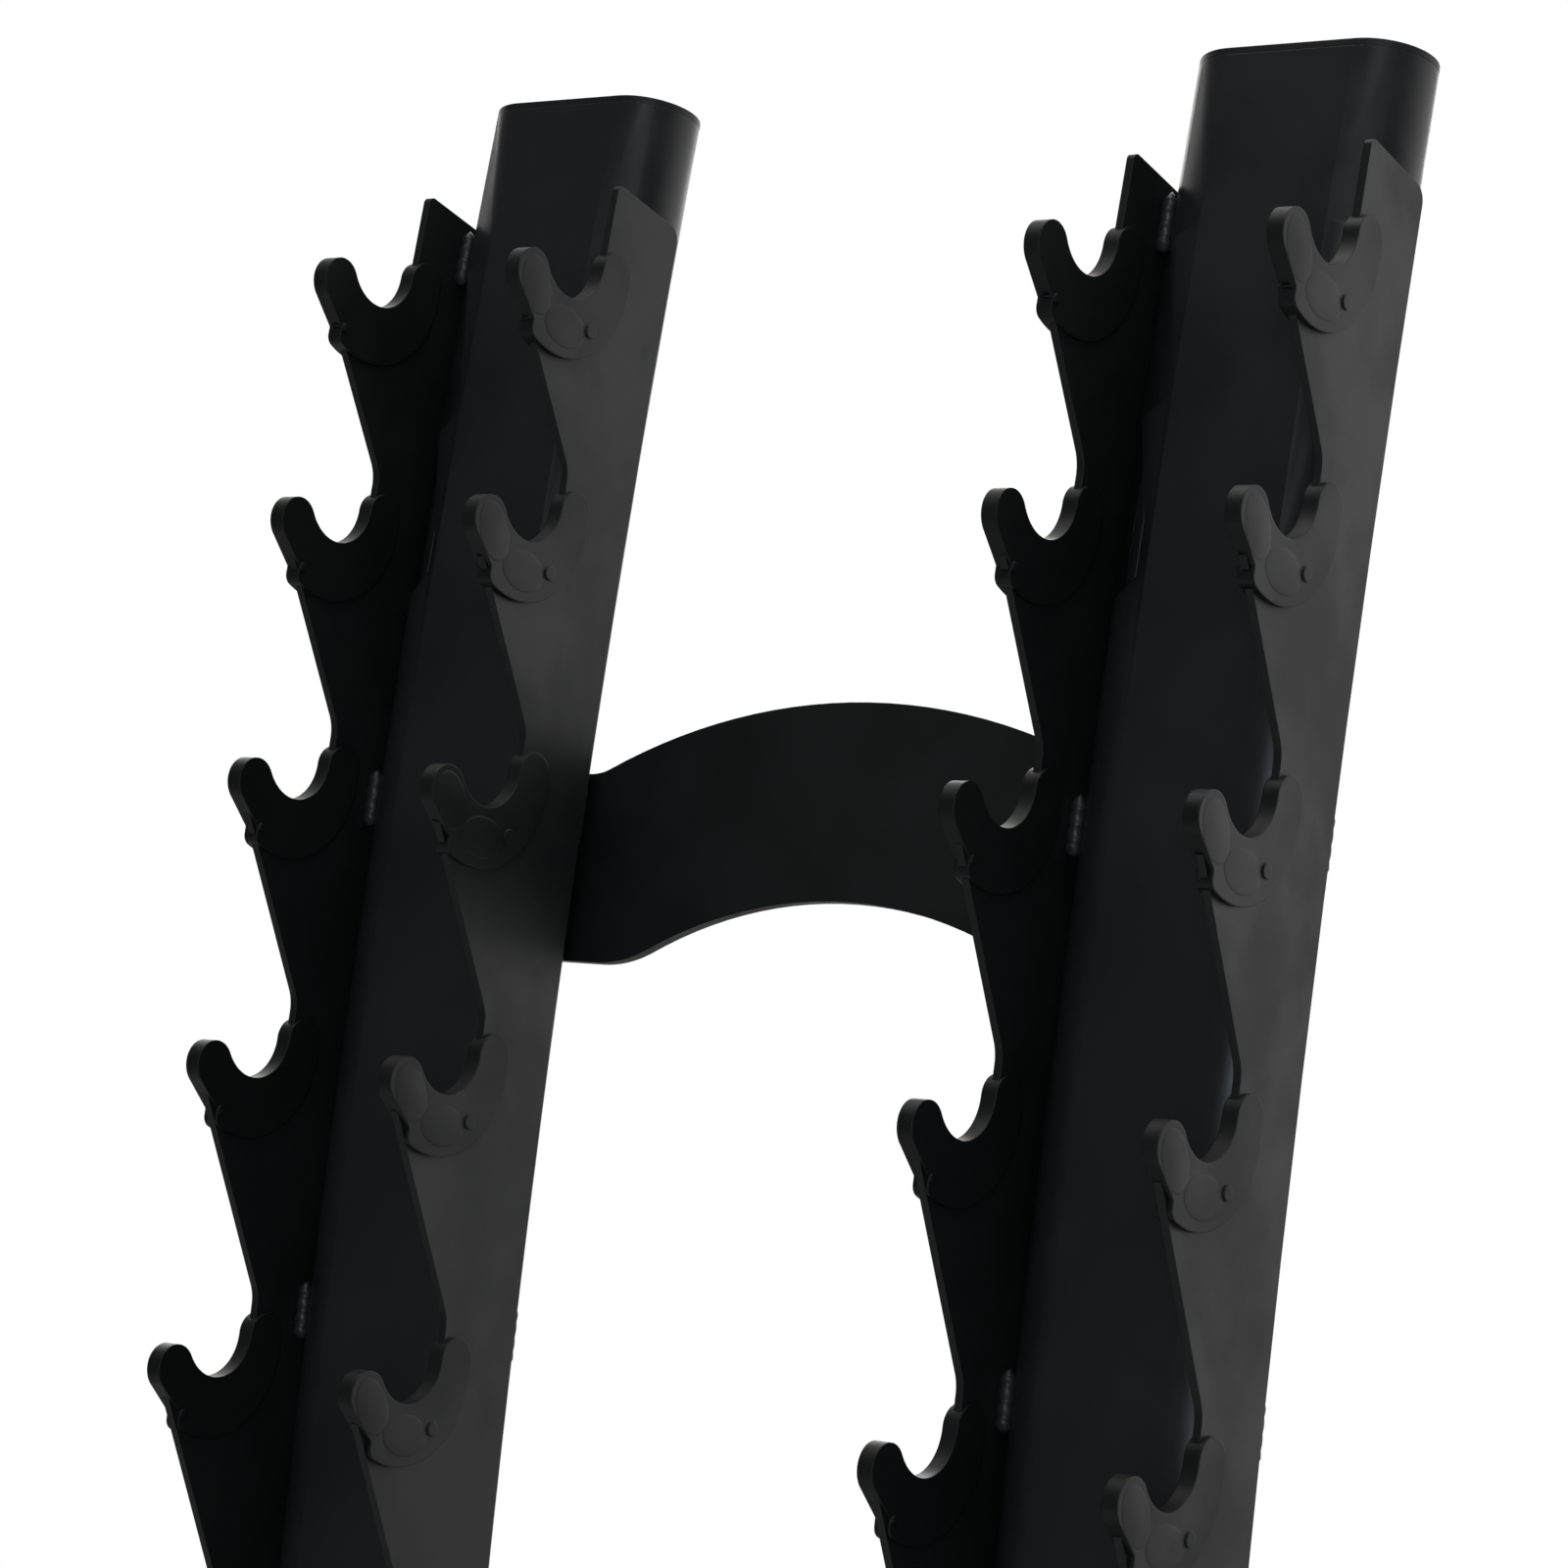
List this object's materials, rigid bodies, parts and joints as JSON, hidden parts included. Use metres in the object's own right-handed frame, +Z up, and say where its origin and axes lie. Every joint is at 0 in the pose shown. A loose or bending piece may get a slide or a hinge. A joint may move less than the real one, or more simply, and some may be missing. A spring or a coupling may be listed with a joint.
{
  "type": "dumbbell rack",
  "caption": "Upright dumbbell rack: bent flat-oval posts with saw-tooth saddle plates and plastic liners, an arched tie plate, and long foot beams joined by a cross tube.",
  "frame": {"origin": "on the floor, midway between the uprights and at the middle of the foot beams' length", "axes": "+Z up; +Y to the rear, the way the uprights lean; +X to the rack's right as seen from its front"},
  "size_m": [0.424, 0.64, 1.2774],
  "materials": {
    "powder_coat": "matt black powder coat with a fine texture",
    "cap_plastic": "satin moulded black",
    "liner_plastic": "matt moulded charcoal black",
    "foot_rubber": "matt black rubber",
    "black_steel": "black oxide, slightly satin",
    "zinc_steel": "bright zinc plate"
  },
  "bodies": {
    "root": {"upright_left": "powder_coat", "upright_right": "powder_coat", "top_cap_left": "cap_plastic", "top_cap_right": "cap_plastic", "saw_plate_left_outer": "powder_coat", "saw_plate_left_inner": "powder_coat", "saw_plate_right_outer": "powder_coat", "saw_plate_right_inner": "powder_coat", "liner_left_outer_1": "liner_plastic", "liner_left_outer_2": "liner_plastic", "liner_left_outer_3": "liner_plastic", "liner_left_outer_4": "liner_plastic", "liner_left_outer_5": "liner_plastic", "liner_left_outer_6": "liner_plastic", "liner_left_outer_7": "liner_plastic", "liner_left_outer_8": "liner_plastic", "liner_left_outer_9": "liner_plastic", "liner_left_outer_10": "liner_plastic", "liner_left_inner_1": "liner_plastic", "liner_left_inner_2": "liner_plastic", "liner_left_inner_3": "liner_plastic", "liner_left_inner_4": "liner_plastic", "liner_left_inner_5": "liner_plastic", "liner_left_inner_6": "liner_plastic", "liner_left_inner_7": "liner_plastic", "liner_left_inner_8": "liner_plastic", "liner_left_inner_9": "liner_plastic", "liner_left_inner_10": "liner_plastic", "liner_right_outer_1": "liner_plastic", "liner_right_outer_2": "liner_plastic", "liner_right_outer_3": "liner_plastic", "liner_right_outer_4": "liner_plastic", "liner_right_outer_5": "liner_plastic", "liner_right_outer_6": "liner_plastic", "liner_right_outer_7": "liner_plastic", "liner_right_outer_8": "liner_plastic", "liner_right_outer_9": "liner_plastic", "liner_right_outer_10": "liner_plastic", "liner_right_inner_1": "liner_plastic", "liner_right_inner_2": "liner_plastic", "liner_right_inner_3": "liner_plastic", "liner_right_inner_4": "liner_plastic", "liner_right_inner_5": "liner_plastic", "liner_right_inner_6": "liner_plastic", "liner_right_inner_7": "liner_plastic", "liner_right_inner_8": "liner_plastic", "liner_right_inner_9": "liner_plastic", "liner_right_inner_10": "liner_plastic", "arch_plate": "powder_coat", "foot_bracket_left": "powder_coat", "foot_bracket_right": "powder_coat", "foot_beam_left": "powder_coat", "foot_beam_right": "powder_coat", "beam_end_caps": "cap_plastic", "base_cross_tube": "powder_coat", "rubber_feet": "foot_rubber", "button_screws": "black_steel", "cross_bolts": "black_steel", "rivet_nuts": "zinc_steel"}
  },
  "joints": []
}
